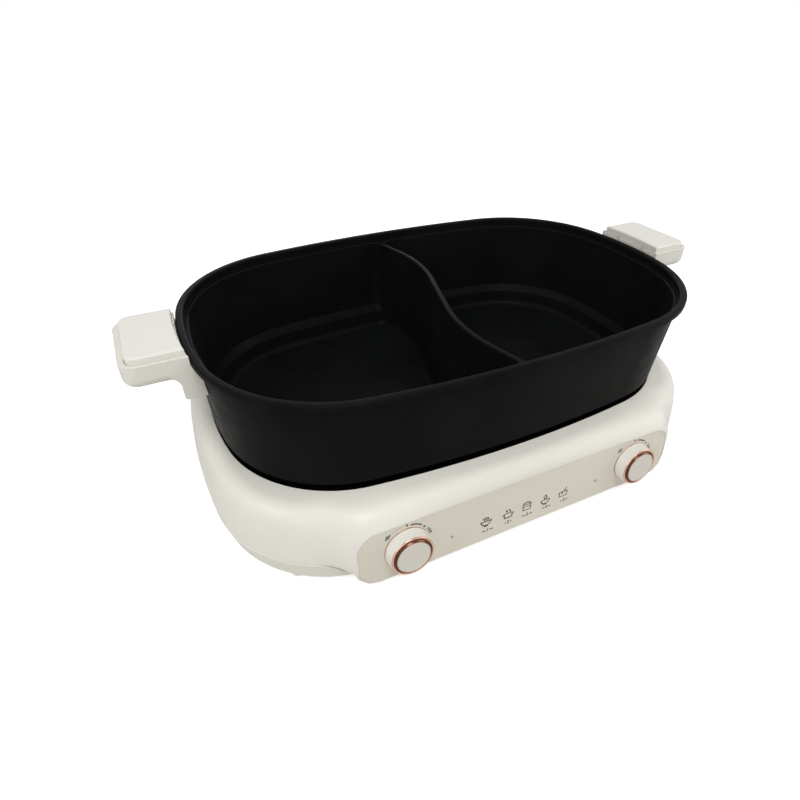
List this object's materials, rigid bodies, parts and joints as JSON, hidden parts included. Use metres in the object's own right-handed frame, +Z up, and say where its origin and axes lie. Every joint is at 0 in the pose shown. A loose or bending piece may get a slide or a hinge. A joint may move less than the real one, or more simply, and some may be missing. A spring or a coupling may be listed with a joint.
{
  "type": "electric hot pot",
  "caption": "Electric hot pot: an open cast pot with an S-shaped divider and side handles lifts off a cream countertop heating base with a tilted front panel and rotary knobs.",
  "frame": {"origin": "on the table, under the middle of the pot's rim", "axes": "+X along the pot towards its right handle, -Y to the front with the control panel, +Z up"},
  "size_m": [0.478, 0.3004, 0.148],
  "materials": {
    "shell_cream": "satin injection-moulded shell, cream white",
    "lower_shell_cream": "satin injection-moulded tub, cream white",
    "panel_cream": "fine matt strip, warm grey cream, with dark print",
    "tray_black": "black enamelled pressed steel",
    "inlet_black": "black moulded inlet",
    "screw_steel": "plated steel",
    "pot_black": "cast aluminium with a black non-stick coating",
    "foot_rubber": "dark grey rubber",
    "thermostat_black": "black moulded case",
    "brass_nut": "bright brass",
    "rose_gold": "polished rose-gold plating",
    "knob_cream": "satin cream plastic",
    "cap_cream": "satin cream disc",
    "shaft_steel": "drawn steel",
    "lens_smoke": "smoked lens",
    "lamp_clear": "amber lamp",
    "plate_aluminium": "cast aluminium, dark finish",
    "handle_cream": "heatproof plastic, fine matt cream",
    "cover_cream": "satin cream cover"
  },
  "bodies": {
    "base": {"base_upper_shell": "shell_cream", "base_lower_shell": "lower_shell_cream", "control_panel": "panel_cream", "heating_tray": "tray_black", "mains_inlet": "inlet_black", "base_screws": "screw_steel", "element_pins": "screw_steel", "foot_back_right": "foot_rubber", "foot_back_left": "foot_rubber", "foot_front_left": "foot_rubber", "foot_front_right": "foot_rubber", "thermostat_left": "thermostat_black", "shaft_nut_left": "brass_nut", "knob_trim_left": "rose_gold", "lamp_lens_left": "lens_smoke", "lamp_left": "lamp_clear", "heater_plate_left": "plate_aluminium", "thermostat_right": "thermostat_black", "shaft_nut_right": "brass_nut", "knob_trim_right": "rose_gold", "lamp_lens_right": "lens_smoke", "lamp_right": "lamp_clear", "heater_plate_right": "plate_aluminium"},
    "pot": {"pot": "pot_black", "handle_tray_left": "handle_cream", "handle_cover_left": "cover_cream", "handle_screws_left": "screw_steel", "handle_tray_right": "handle_cream", "handle_cover_right": "cover_cream", "handle_screws_right": "screw_steel"},
    "knob_left": {"knob_barrel_left": "knob_cream", "knob_ring_left": "rose_gold", "knob_cap_left": "cap_cream", "knob_shaft_left": "shaft_steel"},
    "knob_right": {"knob_barrel_right": "knob_cream", "knob_ring_right": "rose_gold", "knob_cap_right": "cap_cream", "knob_shaft_right": "shaft_steel"}
  },
  "joints": [
    {"name": "pot_lift", "type": "slide", "parent": "base", "child": "pot", "axis": [0, 0, 1], "range_m": [0, 0.15]},
    {"name": "left_knob_turn", "type": "hinge", "parent": "base", "child": "knob_left", "pos_m": [-0.0984, -0.14314, 0.0296], "axis": [0, 0.995, -0.0998], "range_deg": [0, 105]},
    {"name": "right_knob_turn", "type": "hinge", "parent": "base", "child": "knob_right", "pos_m": [0.0984, -0.14314, 0.0296], "axis": [0, 0.995, -0.0998], "range_deg": [0, 105]}
  ]
}
